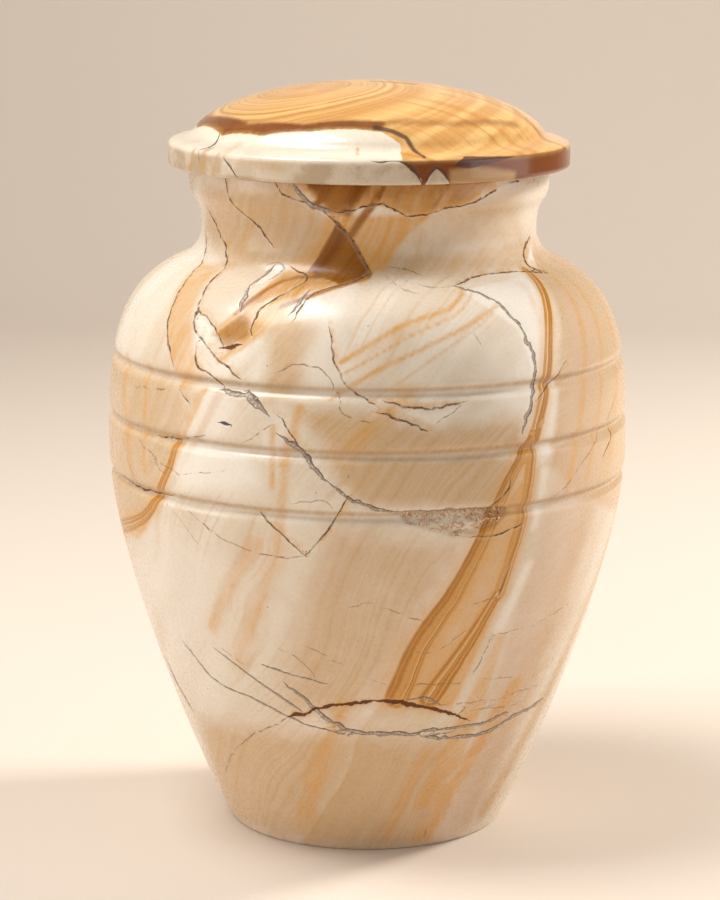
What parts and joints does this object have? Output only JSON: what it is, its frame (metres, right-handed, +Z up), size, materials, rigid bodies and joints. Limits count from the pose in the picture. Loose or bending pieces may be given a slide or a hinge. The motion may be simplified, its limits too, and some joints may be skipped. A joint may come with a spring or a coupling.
{
  "type": "cremation urn",
  "caption": "Turned stone cremation urn: hollow jar with shallow turned rings, a waisted neck and a domed lid that lifts off its rim.",
  "frame": {"origin": "centre of the flat base, where the urn stands", "axes": "+Z up the turning axis, towards the lid; -Y towards the front, where the strongest veins meet"},
  "size_m": [0.184, 0.184, 0.2648],
  "materials": {
    "jar_stone": "polished cream and amber veined stone",
    "lid_stone": "polished amber banded stone with a cream flange"
  },
  "bodies": {
    "root": {"urn_jar": "jar_stone", "urn_lid": "lid_stone"}
  },
  "joints": []
}
